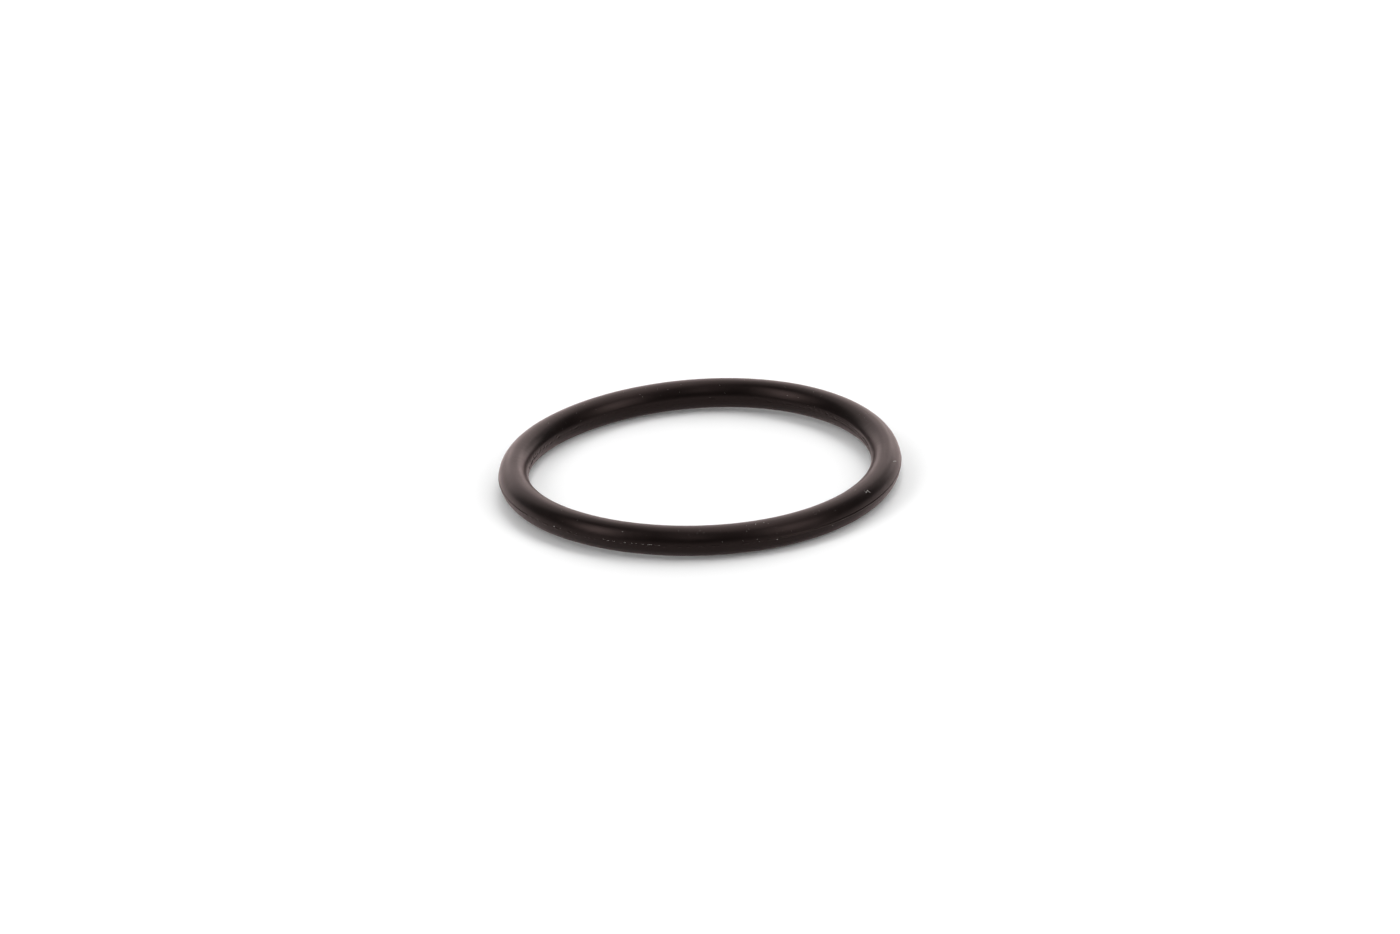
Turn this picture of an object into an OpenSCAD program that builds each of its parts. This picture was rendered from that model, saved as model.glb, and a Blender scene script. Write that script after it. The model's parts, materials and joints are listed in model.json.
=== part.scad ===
// Rubber O-ring, moulded in one piece and lying flat.
// Z is the axis of the ring, and Z = 0 is the plane where the two halves of the mould met.
// The section is drawn with X as the distance from the axis and Y as the height, then revolved.

/* [Ring] */
// Inside diameter, across the trimmed land
inside_d = 40; // [6:0.5:200]
// Diameter of the round section
section_d = 3.5; // [1.5:0.05:7]

/* [Parting line] */
// Width of the narrow land left where the inner flash was trimmed off
land_w = 0.4; // [0.1:0.05:0.8]
// Thickness of the outer flash, the thin rib of rubber squeezed out between the mould halves
flash_t = 0.12; // [0.04:0.01:0.3]
// How far the outer flash stands proud of the round section
flash_h = 0.06; // [0.03:0.01:0.2]
// Radius of the fillet on each side of the outer flash
flash_fillet = 0.03; // [0.01:0.005:0.03]

/* [Hidden] */
$fn = 180;

rubber_colour = [0.11, 0.1, 0.1];
inside_r = inside_d / 2;
section_r = section_d / 2;
// Trimming the flash takes a shallow slice off the section, so the section's centre lies
// nearer to the axis than a full round section would put it
centre_r = inside_r + sqrt(section_r ^ 2 - (land_w / 2) ^ 2);
flash_r = centre_r + section_r + flash_h;
// Centre of the upper fillet, which touches both the round section and the side of the flash
fillet_y = flash_t / 2 + flash_fillet;
fillet_x = centre_r + sqrt((section_r + flash_fillet) ^ 2 - fillet_y ^ 2);
// Where the fillet's circle touches the round section, as a share of the line between centres
touch_share = section_r / (section_r + flash_fillet);

// Round section with the inner flash trimmed off to a flat land
module trimmed_round() {
    difference() {
        translate([centre_r, 0]) circle(r = section_r);
        translate([inside_r - section_d, -section_d / 2]) square([section_d, section_d]);
    }
}

// Fillet above the outer flash: the corner between the section and the flash, less a circle
module flash_fillet_above() {
    difference() {
        polygon([
            [centre_r + section_r / 2, 0],
            [fillet_x, 0],
            [fillet_x, fillet_y],
            [centre_r + (fillet_x - centre_r) * touch_share, fillet_y * touch_share],
        ]);
        translate([fillet_x, fillet_y]) circle(r = flash_fillet);
    }
}

// Outer flash on the parting plane, blended into the section above and below
module outer_flash() {
    translate([centre_r, -flash_t / 2]) square([flash_r - centre_r, flash_t]);
    flash_fillet_above();
    mirror([0, 1]) flash_fillet_above();
}

module section() {
    trimmed_round();
    outer_flash();
}

module o_ring() {
    color(rubber_colour) rotate_extrude() section();
}

o_ring();
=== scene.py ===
"""Rubber O-ring lying flat on a pale floor: its surface, finish, light and camera.

Lengths are in metres. The ring's axis is Z, its parting plane is Z = 0, and the camera's side is -Y.
A turn is an angle round the ring, from +X towards +Y. An arc is a length round the section, from
the outermost point over the top to the innermost one, and negative underneath.
"""
import json
import math

import bmesh
import bpy
import numpy as np
from mathutils import Matrix, Vector
from mathutils.bvhtree import BVHTree


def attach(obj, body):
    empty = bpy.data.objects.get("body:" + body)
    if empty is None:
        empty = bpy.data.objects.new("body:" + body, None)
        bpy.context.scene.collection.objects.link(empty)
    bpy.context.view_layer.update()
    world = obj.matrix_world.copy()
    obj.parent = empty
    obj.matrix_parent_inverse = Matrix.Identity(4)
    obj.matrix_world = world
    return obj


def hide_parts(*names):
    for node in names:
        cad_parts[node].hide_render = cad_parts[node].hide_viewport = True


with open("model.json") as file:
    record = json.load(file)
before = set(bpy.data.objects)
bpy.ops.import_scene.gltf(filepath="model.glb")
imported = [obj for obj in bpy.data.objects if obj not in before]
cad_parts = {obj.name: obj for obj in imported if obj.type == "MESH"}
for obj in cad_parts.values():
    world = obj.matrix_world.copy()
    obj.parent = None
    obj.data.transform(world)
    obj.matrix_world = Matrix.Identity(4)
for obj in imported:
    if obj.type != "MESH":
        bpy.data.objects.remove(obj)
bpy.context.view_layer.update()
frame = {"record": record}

MM = 0.001
FULL_TURN = 2 * math.pi
SEED = 11

# Ring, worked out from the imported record's mounts
mount_dims = {m["name"]: m["dims"] for m in frame["record"]["mounts"]}
INSIDE_R = mount_dims["inside_diameter"]["r_mm"] * MM
LAND_W = mount_dims["inside_diameter"]["length_mm"] * MM
FLASH_R = mount_dims["outside_diameter"]["r_mm"] * MM
FLASH_T = mount_dims["outside_diameter"]["length_mm"] * MM
SECTION_R = 1.75 * MM
CENTRE_R = INSIDE_R + math.sqrt(SECTION_R ** 2 - (LAND_W / 2) ** 2)
FLASH_H = FLASH_R - CENTRE_R - SECTION_R
HALF_ROUND = math.pi * SECTION_R

# The soft ring doesn't lie quite flat: it is raised at the back right and the front left
WARP = 0.216 * MM
WARP_TURN = math.radians(104.6)
FLOOR_Z = -SECTION_R - WARP

# Mesh: points round the ring, and arcs in mm from the parting line, outside and inside
TURNS = 1440
OUTER_ARCS = (0, 0.03, 0.06, 0.09, 0.13, 0.18, 0.25)
INNER_ARCS = (0.5, 0.45, 0.4, 0.35, 0.3, 0.25, 0.2, 0.15, 0.1, 0.05, 0)
PLAIN_ARCS = 13

# Values that end in WAVES are the fewest and the most waves round the ring in a random wave

# Wander of the parting line. Points closer than LINE_NEAR go with it, and those past LINE_FAR don't.
LINE_SLOW = 0.012 * MM
LINE_SLOW_WAVES = (1, 9)
LINE_QUICK = 0.004 * MM
LINE_QUICK_WAVES = (20, 120)
LINE_NEAR = 0.2 * MM
LINE_FAR = 1.6 * MM

# Fine waves of the moulded surface, with their phase round the section
LONG_WAVE = 0.002 * MM
LONG_WAVE_WAVES = (8, 40)
LONG_WAVE_PHASE = 0.6
SHORT_WAVE = 0.0006 * MM
SHORT_WAVE_WAVES = (60, 200)
SHORT_WAVE_PHASE = -1.1

# Flash: arcs at which its level top ends and its side meets the round, and the share of its height
# that varies, with the limits of the random wave that it varies with
FLASH_TOP = 0.3 * FLASH_T
FLASH_FOOT = 0.85 * FLASH_T
FLASH_UNEVEN = 0.1
FLASH_WAVES = (5, 60)
FLASH_LIMITS = (-1.5, 1)

# The flash is worn off round this turn, wholly and then in part, to either side
WORN_TURN = math.radians(249)
WORN_WHOLLY = math.radians(36)
WORN_IN_PART = math.radians(47)

# A random wave makes chips in the flash where it passes CHIP_RARITY, and wear makes them common.
# CHIP_EDGE is how much it has to pass that by, for the edge of a chip and for its middle.
CHIP_WAVES = (60, 260)
CHIP_RARITY = 2.6
CHIP_WEAR = 3.6
CHIP_EDGE = (0.2, 0.6)
CHIP_LOSS = 0.9

# Notch above the flash
NOTCH_ARC = 0.13 * MM
NOTCH_HALF_W = 0.045 * MM
NOTCH_DEPTH = 0.028 * MM
NOTCH_WAVES = (5, 40)
NOTCH_UNEVEN = 0.15
NOTCH_WEAR = 0.9

# Land trimmed off inside: how uneven it is, and how far from the parting line it may reach
TRIM_SLOW = 0.003 * MM
TRIM_SLOW_WAVES = (2, 30)
TRIM_QUICK = 0.002 * MM
TRIM_QUICK_WAVES = (80, 400)
LAND_REACH = 0.9 * MM

# Pits in the land, deeper round the turn where it is torn. In mm: how far they stray from the
# parting line, and the ranges of their length, width and depth.
PITS = 260
TORN_PITS = 90
TORN_TURN = math.radians(171)
TORN_SPREAD = math.radians(9)
TORN_PIT = (0.21, (0.08, 0.2), (0.06, 0.1), (0.03, 0.07))
PLAIN_PIT = (0.12, (0.08, 0.3), (0.06, 0.1), (0.012, 0.05))

# Marks of the trimming, deeper round the turn where the land is scored. In degrees: how far round
# they reach, of which MARK_FULL is the share before they fade. In mm: how far they are from the
# parting line, and the ranges of their depth.
MARKS = 60
SCORED_MARKS = 34
SCORED_TURN = math.radians(14)
SCORED_SPREAD = math.radians(14)
MARK_REACH = (6, 24)
MARK_FULL = 0.5
MARK_OFFSET = (-0.4, 0.4)
MARK_WANDER = 0.02 * MM
MARK_WAVES = (2, 20)
MARK_W = 0.05 * MM
SCORED_DEPTH = (0.010, 0.032)
PLAIN_DEPTH = (0.003, 0.010)

# View of the photograph. The ring's centre shows this many pixels left of its middle and above it,
# and PIXEL is how wide one of them is at the ring.
IMAGE_W = 1400
IMAGE_H = 934
LENS = 239.75
SENSOR_W = 36.0
NEAREST_SEEN = 0.01
FARTHEST_SEEN = 20
CAMERA_DISTANCE = 1087.5 * MM
CAMERA_ELEVATION = math.radians(23.22)
CAMERA_ROLL = math.radians(-3.04)
LEFT_OF_CENTRE = 0.2
ABOVE_CENTRE = 0.8
PIXEL = 0.1166 * MM

# Rubber, with a faint bloom over it. The scales of the clouds and the grain are in waves per metre,
# and the clouds go from the first value of CLOUD_RANGE, smooth, to the second, dull.
RUBBER_IOR = 1.28
RUBBER_DARK = (0.0015, 0.0010, 0.0009, 1)
RUBBER_LIGHT = (0.0026, 0.0018, 0.0015, 1)
RUBBER_SHEEN = (1.0, 0.805, 0.77, 1)
RUBBER_ROUGHNESS = (0.30, 0.36)
BLOOM_IOR = 1.09
BLOOM_SHEEN = (1.0, 0.87, 0.855, 1)
BLOOM_ROUGHNESS = 0.33
CLOUD_SCALE = 420
CLOUD_DETAIL = 3
CLOUD_RANGE = (0.3, 0.7)
GRAIN_SCALE = 5200
GRAIN_DETAIL = 2
GRAIN_HEIGHT = 0.006 * MM
GRAIN_STRENGTH = 0.8

# Lint that shows in the photograph. A fibre has its radius in mm and the pixels that it passes, and
# a flake has its pixel and its radius in mm.
LINT_COLOUR = (0.62, 0.59, 0.56, 1)
LINT_ROUGHNESS = 0.8
FIBRES = {
    "curl": (0.021, ((864.6, 491.2), (866.4, 492.8), (867.4, 490.3), (868.6, 491.8), (870.6, 492.6))),
    "bar": (0.034, ((892.9, 461.6), (894.4, 461.3), (896.0, 461.3))),
    "dash_1": (0.006, ((602.0, 539.1), (604.8, 539.4))),
    "dash_2": (0.009, ((606.9, 540.3), (609.2, 540.6))),
    "dash_3": (0.005, ((612.4, 540.9), (615.0, 541.3))),
    "dash_4": (0.010, ((623.9, 542.3), (626.1, 542.6))),
    "dash_5": (0.006, ((630.6, 543.2), (632.2, 543.4))),
    "dash_6": (0.006, ((634.6, 543.3), (636.8, 543.5))),
    "dash_7": (0.008, ((641.6, 544.3), (644.0, 544.5))),
    "dash_8": (0.011, ((647.0, 544.9), (649.6, 544.6), (652.2, 544.7))),
    "dash_9": (0.007, ((654.4, 545.2), (655.6, 545.3))),
    "dash_10": (0.006, ((658.2, 545.5), (660.0, 545.5))),
}
FLAKES = {
    "far_right": ((835.5, 510.7, 0.030), (843.2, 519.2, 0.020), (832.7, 525.3, 0.030)),
    "front_right": ((777.3, 539.5, 0.038), (759.4, 541.5, 0.020), (755.6, 524.2, 0.035),
                    (763.9, 522.7, 0.032), (746.7, 531.3, 0.020)),
    "front_middle": ((700.0, 530.6, 0.024), (678.8, 530.6, 0.024)),
    "front_left": ((537.4, 519.2, 0.060), (554.1, 526.4, 0.045), (560.3, 528.5, 0.025),
                   (561.3, 510.1, 0.025), (570.8, 532.1, 0.018)),
    "right_side": ((855.4, 489.6, 0.025), (859.4, 430.9, 0.032), (857.3, 433.6, 0.028)),
    "back_right": ((787.5, 395.5, 0.028),),
    "left_of_middle": ((622.5, 531.5, 0.022),),
}

# How far a fibre's middle is from the rubber and how thick its ends are, as shares of its radius
FIBRE_HEIGHT = 0.7
FIBRE_END = 0.55
FIBRE_SIDES = 6

# Flakes are stretched, knobbly and flattened by these shares. Dust is random flakes, by radius in mm.
FLAKE_STRETCH = (0.8, 1.5)
FLAKE_KNOBS = (0.8, 1.2)
FLAKE_THICKNESS = 0.5
DUST = 220
DUST_RADIUS = (0.008, 0.017)

# Softboxes, seen from the ring: azimuth, elevation and roll in degrees, half width and half height
# as tangents, and radiance, where white is 1. A core is a brighter patch of its softbox.
LAMP_DISTANCE = 4.0
SOFTBOXES = {
    "left": (-158.6, 36.6, 23.3, 0.170, 0.483, 3.00),
    "left_core": (-159.4, 36.8, 20.0, 0.090, 0.200, 3.10),
    "right": (-32.6, 33.0, -13.6, 0.225, 0.480, 2.22),
    "right_core": (-30.0, 35.0, -14.0, 0.090, 0.200, 2.10),
    "right_low": (-50.0, 28.0, 0.0, 0.100, 0.200, 0.50),
    "strip": (-98.7, 58.1, 7.5, 0.062, 0.526, 2.15),
    "strip_core": (-97.0, 46.5, 0.0, 0.045, 0.120, 1.70),
    "top": (40.9, 74.2, 7.7, 0.384, 0.247, 2.16),
    "back_high": (72.7, 41.3, 13.9, 0.282, 0.424, 1.42),
    "low_left": (120.0, 11.0, -5.0, 0.300, 0.120, 1.26),
    "low_mid": (90.0, 11.0, 0.0, 0.268, 0.120, 1.26),
    "low_right": (60.0, 11.0, 5.0, 0.300, 0.120, 2.04),
    "back_right": (43.7, 32.9, 0.0, 0.183, 0.132, 0.68),
    "back_left": (109.9, 37.3, 14.9, 0.373, 0.460, 0.90),
}

# Room light, where white is 1. It is white up to the horizon, and fades between these heights,
# which are sines of an elevation.
ROOM_LIGHT = 0.152
HORIZON_LOW = 0.054
HORIZON_HIGH = 0.072

# Floor, with a faint light of its own that brings it up to white
FLOOR_HALF = 0.9
FLOOR_COLOUR = (0.97, 0.97, 0.97, 1)
FLOOR_WHITENING = 0.05


def warp_height(turn):
    """Height of the section's centre at an angle round the ring."""
    return WARP * np.cos(2 * turn - WARP_TURN)


def wander(rng, turn, fewest, most):
    """Smooth random wave round the ring, of about size 1, summed from fewest to most waves a turn."""
    waves = np.arange(fewest, most + 1)[:, None]
    size = rng.normal(size=waves.shape)
    start = rng.uniform(0, FULL_TURN, waves.shape)
    wave = (size * np.cos(waves * turn[None, :] + start)).sum(axis=0)
    return wave / wave.std()


def smooth_step(low, high, value):
    """0 below low, 1 above high and smooth between them."""
    t = np.clip((value - low) / (high - low), 0, 1)
    return t * t * (3 - 2 * t)


def turn_between(turn, middle):
    """Angle from a turn to a middle one, the short way round."""
    return np.abs((turn - middle + math.pi) % FULL_TURN - math.pi)


def rolled(level, top, roll):
    """Directions to the right and up, for a camera or lamp that is rolled from level."""
    c, s = math.cos(roll), math.sin(roll)
    return c * level + s * top, c * top - s * level


def link_object(name, data):
    thing = bpy.data.objects.new(name, data)
    bpy.context.collection.objects.link(thing)
    return thing


def link_mesh(name, points, faces):
    mesh = bpy.data.meshes.new(name)
    mesh.from_pydata(points, [], faces)
    mesh.shade_smooth()
    return link_object(name, mesh)


def make_camera():
    forward = Vector((0, math.cos(CAMERA_ELEVATION), -math.sin(CAMERA_ELEVATION)))
    level = Vector((1, 0, 0))
    right, up = rolled(level, level.cross(forward), CAMERA_ROLL)
    camera = link_object("camera", bpy.data.cameras.new("camera"))
    camera.data.lens = LENS
    camera.data.sensor_width = SENSOR_W
    camera.data.clip_start = NEAREST_SEEN
    camera.data.clip_end = FARTHEST_SEEN
    camera.matrix_world = Matrix((right, up, -forward)).transposed().to_4x4()
    aim = (LEFT_OF_CENTRE * right - ABOVE_CENTRE * up) * PIXEL
    camera.location = aim - CAMERA_DISTANCE * forward
    bpy.context.scene.camera = camera
    return camera


def section_arcs():
    """Arcs of the section's points, in order round it from the outermost point."""
    outer = np.array(OUTER_ARCS) * MM
    inner = HALF_ROUND - np.array(INNER_ARCS) * MM
    plain = np.linspace(outer[-1], inner[0], PLAIN_ARCS + 2)[1:-1]
    over = np.concatenate([outer, plain, inner])
    return np.concatenate([over, -over[-2:0:-1]])


def line_wander(rng, turn, arc):
    """How far the section's points go round it with the wandering parting line."""
    slow = LINE_SLOW * wander(rng, turn, *LINE_SLOW_WAVES)
    quick = LINE_QUICK * wander(rng, turn, *LINE_QUICK_WAVES)
    near_line = 1 - smooth_step(LINE_NEAR, LINE_FAR, np.abs(arc))
    return (slow + quick)[:, None] * near_line[None, :]


def surface_waves(rng, turn, angle):
    """Height of the fine waves of the moulded surface."""
    long_wave = wander(rng, turn, *LONG_WAVE_WAVES)[:, None] * np.cos(angle + LONG_WAVE_PHASE)
    short_wave = wander(rng, turn, *SHORT_WAVE_WAVES)[:, None] * np.cos(2 * angle + SHORT_WAVE_PHASE)
    return LONG_WAVE * long_wave + SHORT_WAVE * short_wave


def flash_heights(rng, turn, arc, worn):
    """Height of the flash left at the outer parting line, uneven, chipped and worn."""
    past_edge = wander(rng, turn, *CHIP_WAVES) - CHIP_RARITY + CHIP_WEAR * worn
    chips = smooth_step(*CHIP_EDGE, past_edge)
    uneven = np.clip(wander(rng, turn, *FLASH_WAVES), *FLASH_LIMITS)
    height = FLASH_H * (1 - FLASH_UNEVEN + FLASH_UNEVEN * uneven) * (1 - CHIP_LOSS * chips)
    ridge = 1 - smooth_step(FLASH_TOP, FLASH_FOOT, np.abs(arc))
    return height[:, None] * ridge[None, :]


def notch_depths(rng, turn, arc, worn):
    """Depth of the fine notch that the mould left above the flash."""
    uneven = 1 + NOTCH_UNEVEN * wander(rng, turn, *NOTCH_WAVES)
    depth = NOTCH_DEPTH * (1 - NOTCH_WEAR * worn) * uneven
    notch = 1 - smooth_step(0, NOTCH_HALF_W, np.abs(arc - NOTCH_ARC))
    return depth[:, None] * notch[None, :]


def land_radii(rng, turn):
    """Distance of the trimmed land from the ring's axis, which is a little uneven."""
    slow = TRIM_SLOW * wander(rng, turn, *TRIM_SLOW_WAVES)
    quick = TRIM_QUICK * wander(rng, turn, *TRIM_QUICK_WAVES)
    return INSIDE_R + (slow + quick)[:, None]


def across_land(arc):
    """Height of the section's points above the inner parting line, along the surface."""
    return np.where(arc >= 0, HALF_ROUND - arc, -HALF_ROUND - arc)


def pit_depths(rng, turn, arc):
    """Depth of the pits in the trimmed land."""
    depth = np.zeros((len(turn), len(arc)))
    across = across_land(arc)
    for k in range(PITS):
        torn = k < TORN_PITS
        stray, lengths, widths, depths = TORN_PIT if torn else PLAIN_PIT
        centre = rng.normal(TORN_TURN, TORN_SPREAD) if torn else rng.uniform(0, FULL_TURN)
        offset = rng.normal() * stray * MM
        length = rng.uniform(*lengths) * MM
        width = rng.uniform(*widths) * MM
        deep = rng.uniform(*depths) * MM
        along = turn_between(turn, centre) * INSIDE_R / length
        sideways = (across - offset) / width
        depth += deep * np.exp(-along[:, None] ** 2 - sideways[None, :] ** 2)
    return depth


def mark_depths(rng, turn, arc):
    """Depth of the fine marks that trimming left round the bore."""
    depth = np.zeros((len(turn), len(arc)))
    across = across_land(arc)
    for k in range(MARKS):
        scored = k < SCORED_MARKS
        centre = rng.normal(SCORED_TURN, SCORED_SPREAD) if scored else rng.uniform(0, FULL_TURN)
        reach = math.radians(rng.uniform(*MARK_REACH))
        offset = rng.uniform(*MARK_OFFSET) * MM + MARK_WANDER * wander(rng, turn, *MARK_WAVES)
        deep = rng.uniform(*(SCORED_DEPTH if scored else PLAIN_DEPTH)) * MM
        along = 1 - smooth_step(MARK_FULL, 1, turn_between(turn, centre) / reach)
        sideways = (across[None, :] - offset[:, None]) / MARK_W
        depth += deep * along[:, None] * np.exp(-sideways ** 2)
    return depth


def ring_points(rng):
    """Points of the moulded ring, as an array of turns by section points by 3.

    The heights and depths that it adds up are arrays of turns by section points.
    """
    turn = np.linspace(0, FULL_TURN, TURNS, endpoint=False)
    arc = section_arcs()
    worn = 1 - smooth_step(WORN_WHOLLY, WORN_IN_PART, turn_between(turn, WORN_TURN))

    angle = (arc[None, :] + line_wander(rng, turn, arc)) / SECTION_R
    lift = surface_waves(rng, turn, angle)
    lift = lift + flash_heights(rng, turn, arc, worn)
    lift = lift - notch_depths(rng, turn, arc, worn)
    radius = CENTRE_R + (SECTION_R + lift) * np.cos(angle)
    z = (SECTION_R + lift) * np.sin(angle)

    on_land = HALF_ROUND - np.abs(arc)[None, :] < LAND_REACH
    radius = np.where(on_land, np.maximum(radius, land_radii(rng, turn)), radius)
    radius = radius + pit_depths(rng, turn, arc) + mark_depths(rng, turn, arc)

    z = z + warp_height(turn)[:, None]
    return np.stack([np.cos(turn)[:, None] * radius, np.sin(turn)[:, None] * radius, z], axis=-1)


def make_ring():
    points = ring_points(np.random.default_rng(SEED))
    turns, section = points.shape[:2]
    i = np.arange(turns)[:, None]
    j = np.arange(section)[None, :]
    after_j = (j + 1) % section
    first = i * section
    after = (i + 1) % turns * section
    corners = (first + j, after + j, after + after_j, first + after_j)
    faces = np.stack(corners, axis=-1).reshape(-1, 4)
    return link_mesh("rubber_ring", points.reshape(-1, 3).tolist(), faces.tolist())


def on_ring(tree, camera, x, y):
    """Point and outward direction of the ring's surface at a pixel of the photograph."""
    across = (x - IMAGE_W / 2) / IMAGE_W * SENSOR_W
    up = (IMAGE_H / 2 - y) / IMAGE_W * SENSOR_W
    ray = camera.matrix_world.to_3x3() @ Vector((across, up, -LENS))
    point, normal, _, _ = tree.ray_cast(camera.location, ray.normalized())
    return point, normal


def random_place(tree, rng):
    """Point and outward direction at a random place on the ring's upper side."""
    turn = rng.uniform(0, FULL_TURN)
    angle = rng.uniform(0, math.pi)
    out = Vector((math.cos(turn), math.sin(turn), 0))
    centre = out * CENTRE_R + Vector((0, 0, float(warp_height(turn))))
    direction = out * math.cos(angle) + Vector((0, 0, math.sin(angle)))
    point, normal, _, _ = tree.ray_cast(centre + direction * 2 * SECTION_R, -direction)
    return point, normal


def add_flake(bm, rng, point, normal, radius):
    ball = bmesh.ops.create_icosphere(bm, subdivisions=1, radius=radius)
    turn = normal.to_track_quat("Z", "Y").to_matrix()
    stretch = rng.uniform(*FLAKE_STRETCH)
    for v in ball["verts"]:
        knobbly = rng.uniform(*FLAKE_KNOBS)
        flat = Vector((v.co.x * stretch, v.co.y, v.co.z * FLAKE_THICKNESS)) * knobbly
        v.co = point + turn @ flat


def add_fibre(bm, path, normals, radius):
    last = len(path) - 1
    rings = []
    for k, point in enumerate(path):
        along = (path[min(k + 1, last)] - path[max(k - 1, 0)]).normalized()
        out = normals[k]
        side = along.cross(out).normalized()
        thick = radius * (FIBRE_END if k in (0, last) else 1)
        corners = []
        for j in range(FIBRE_SIDES):
            a = FULL_TURN * j / FIBRE_SIDES
            corners.append(bm.verts.new(point + thick * (math.cos(a) * out + math.sin(a) * side)))
        rings.append(corners)
    for near, far in zip(rings, rings[1:]):
        for j in range(FIBRE_SIDES):
            after = (j + 1) % FIBRE_SIDES
            bm.faces.new((near[j], near[after], far[after], far[j]))
    bm.faces.new(rings[0][::-1])
    bm.faces.new(rings[-1])


def make_lint(ring, camera):
    """Fibres, flakes and dust on the ring, as one piece."""
    rng = np.random.default_rng(SEED + 1)
    bpy.context.view_layer.update()
    tree = BVHTree.FromObject(ring, bpy.context.evaluated_depsgraph_get())
    bm = bmesh.new()
    for radius, pixels in FIBRES.values():
        points, normals = [], []
        for x, y in pixels:
            point, normal = on_ring(tree, camera, x, y)
            points.append(point + normal * FIBRE_HEIGHT * radius * MM)
            normals.append(normal)
        add_fibre(bm, points, normals, radius * MM)
    for flakes in FLAKES.values():
        for x, y, radius in flakes:
            point, normal = on_ring(tree, camera, x, y)
            add_flake(bm, rng, point, normal, radius * MM)
    for _ in range(DUST):
        point, normal = random_place(tree, rng)
        add_flake(bm, rng, point, normal, rng.uniform(*DUST_RADIUS) * MM)
    bmesh.ops.recalc_face_normals(bm, faces=bm.faces)
    mesh = bpy.data.meshes.new("lint")
    bm.to_mesh(mesh)
    bm.free()
    return link_object("lint", mesh)


def new_material(name):
    material = bpy.data.materials.new(name)
    material.use_nodes = True
    tree = material.node_tree
    return material, tree, tree.nodes["Principled BSDF"]


def set_inputs(node, values):
    for socket, value in values.items():
        node.inputs[socket].default_value = value


def add_noise(tree, place, scale, detail):
    noise = tree.nodes.new("ShaderNodeTexNoise")
    set_inputs(noise, {"Scale": scale, "Detail": detail})
    tree.links.new(place, noise.inputs["Vector"])
    return noise.outputs["Fac"]


def rubber_material():
    """Black rubber with a faint bloom over it, clouded in tone and dullness, with a fine grain."""
    material, tree, shader = new_material("moulded_rubber")
    add, link = tree.nodes.new, tree.links.new
    set_inputs(shader, {
        "IOR": RUBBER_IOR,
        "Specular Tint": RUBBER_SHEEN,
        "Coat Weight": 1,
        "Coat IOR": BLOOM_IOR,
        "Coat Roughness": BLOOM_ROUGHNESS,
        "Coat Tint": BLOOM_SHEEN,
    })
    place = add("ShaderNodeTexCoord").outputs["Object"]
    cloud = add_noise(tree, place, CLOUD_SCALE, CLOUD_DETAIL)

    tone = add("ShaderNodeMix")
    tone.data_type = "RGBA"
    set_inputs(tone, {"A": RUBBER_DARK, "B": RUBBER_LIGHT})
    link(cloud, tone.inputs["Factor"])
    link(tone.outputs["Result"], shader.inputs["Base Color"])

    rough = add("ShaderNodeMapRange")
    low, high = CLOUD_RANGE
    smooth, dull = RUBBER_ROUGHNESS
    set_inputs(rough, {"From Min": low, "From Max": high, "To Min": smooth, "To Max": dull})
    link(cloud, rough.inputs["Value"])
    link(rough.outputs["Result"], shader.inputs["Roughness"])

    bump = add("ShaderNodeBump")
    set_inputs(bump, {"Strength": GRAIN_STRENGTH, "Distance": GRAIN_HEIGHT})
    link(add_noise(tree, place, GRAIN_SCALE, GRAIN_DETAIL), bump.inputs["Height"])
    link(bump.outputs["Normal"], shader.inputs["Normal"])
    return material


def lint_material():
    material, _, shader = new_material("lint")
    set_inputs(shader, {"Base Color": LINT_COLOUR, "Roughness": LINT_ROUGHNESS})
    return material


def floor_material():
    """Pale floor, brought up to white where it is looked at or mirrored."""
    material, tree, shader = new_material("pale_floor")
    add, link = tree.nodes.new, tree.links.new
    set_inputs(shader, {"Base Color": FLOOR_COLOUR, "Roughness": 1, "Specular IOR Level": 0})
    rays = add("ShaderNodeLightPath").outputs
    seen = rays["Is Camera Ray"]
    for kind in ("Is Glossy Ray", "Is Transmission Ray"):
        either = add("ShaderNodeMath")
        either.operation = "ADD"
        either.use_clamp = True
        link(seen, either.inputs[0])
        link(rays[kind], either.inputs[1])
        seen = either.outputs["Value"]
    strength = add("ShaderNodeMath")
    strength.operation = "MULTIPLY"
    strength.inputs[1].default_value = FLOOR_WHITENING
    link(seen, strength.inputs[0])
    glow = add("ShaderNodeEmission")
    link(strength.outputs["Value"], glow.inputs["Strength"])
    both = add("ShaderNodeAddShader")
    link(shader.outputs["BSDF"], both.inputs[0])
    link(glow.outputs["Emission"], both.inputs[1])
    link(both.outputs["Shader"], tree.nodes["Material Output"].inputs["Surface"])
    return material


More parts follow.
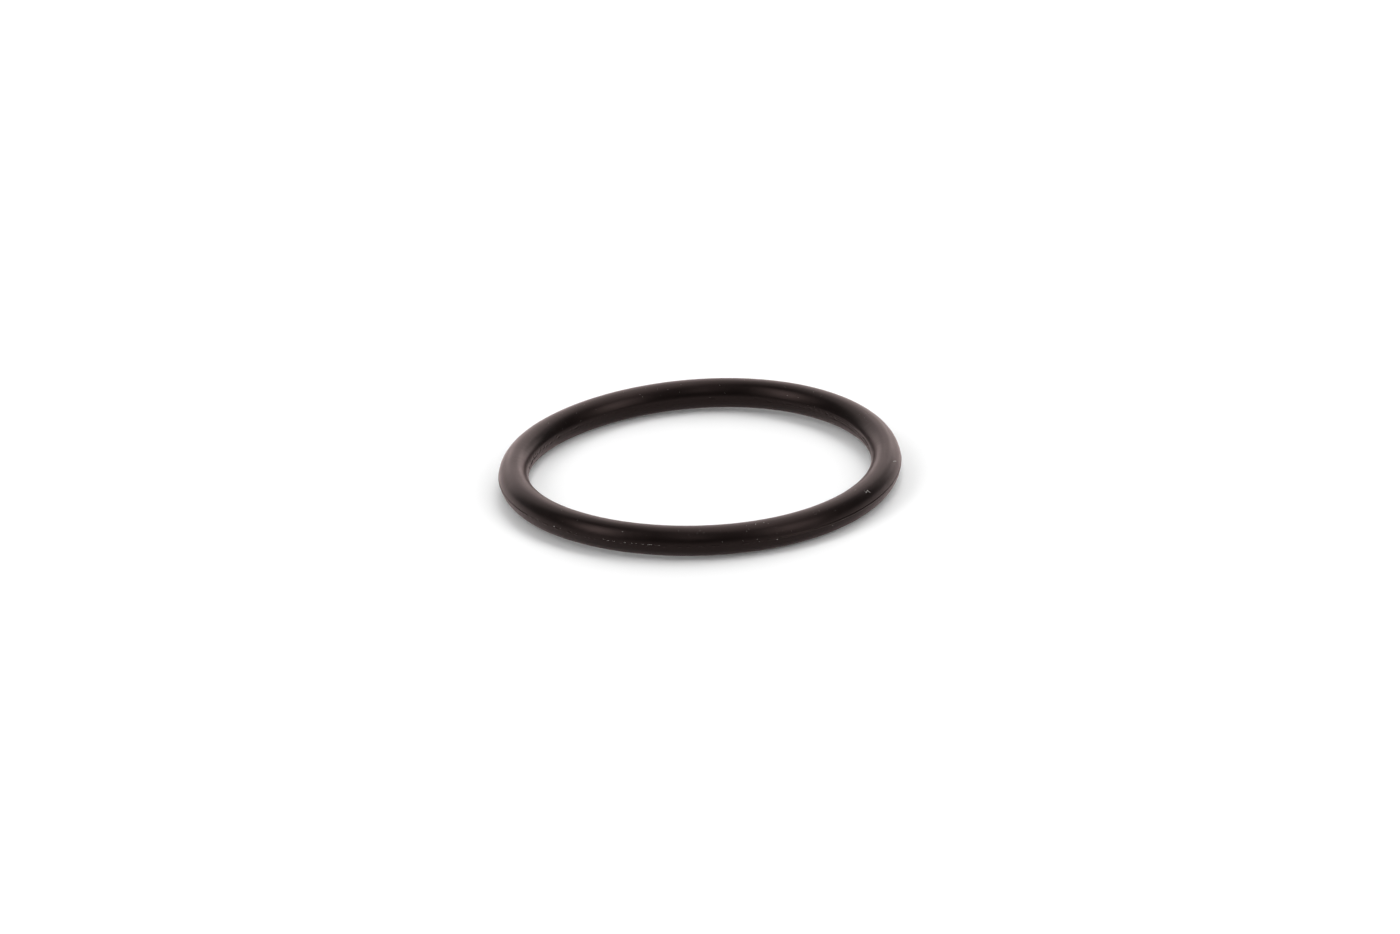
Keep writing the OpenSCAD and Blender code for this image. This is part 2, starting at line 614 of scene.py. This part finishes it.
def make_floor():
    s = FLOOR_HALF
    corners = [(-s, -s, FLOOR_Z), (s, -s, FLOOR_Z), (s, s, FLOOR_Z), (-s, s, FLOOR_Z)]
    floor = link_mesh("floor", corners, [(0, 1, 2, 3)])
    floor.data.materials.append(floor_material())
    return floor


def add_softbox(name, azimuth, elevation, roll, half_w, half_h, radiance):
    az, el = math.radians(azimuth), math.radians(elevation)
    out = Vector((math.cos(el) * math.cos(az), math.cos(el) * math.sin(az), math.sin(el)))
    level = Vector((-math.sin(az), math.cos(az), 0))
    right, up = rolled(level, out.cross(level), math.radians(roll))
    lamp = link_object(name, bpy.data.lights.new(name, "AREA"))
    lamp.data.shape = "RECTANGLE"
    lamp.data.size = 2 * half_w * LAMP_DISTANCE
    lamp.data.size_y = 2 * half_h * LAMP_DISTANCE
    lamp.data.energy = math.pi * lamp.data.size * lamp.data.size_y * radiance
    lamp.matrix_world = Matrix((right, up, out)).transposed().to_4x4()
    lamp.location = out * LAMP_DISTANCE
    lamp.visible_camera = False


def make_world():
    """Even room light, white up to the horizon as the floor is."""
    world = bpy.data.worlds.new("room")
    bpy.context.scene.world = world
    world.use_nodes = True
    tree = world.node_tree
    add, link = tree.nodes.new, tree.links.new
    background = tree.nodes["Background"]
    background.inputs["Color"].default_value = (1, 1, 1, 1)
    height = add("ShaderNodeSeparateXYZ")
    link(add("ShaderNodeTexCoord").outputs["Generated"], height.inputs["Vector"])
    level = add("ShaderNodeMapRange")
    level.interpolation_type = "SMOOTHSTEP"
    set_inputs(level, {
        "From Min": HORIZON_LOW,
        "From Max": HORIZON_HIGH,
        "To Min": 1,
        "To Max": ROOM_LIGHT,
    })
    link(height.outputs["Z"], level.inputs["Value"])
    link(level.outputs["Result"], background.inputs["Strength"])


camera = make_camera()

ring = make_ring()
ring.data.materials.append(rubber_material())
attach(ring, "root")
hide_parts("o_ring")

lint = make_lint(ring, camera)
lint.data.materials.append(lint_material())
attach(lint, "root")

floor = make_floor()
for name, place in SOFTBOXES.items():
    add_softbox(name, *place)
make_world()
bpy.context.scene.view_settings.view_transform = "Standard"
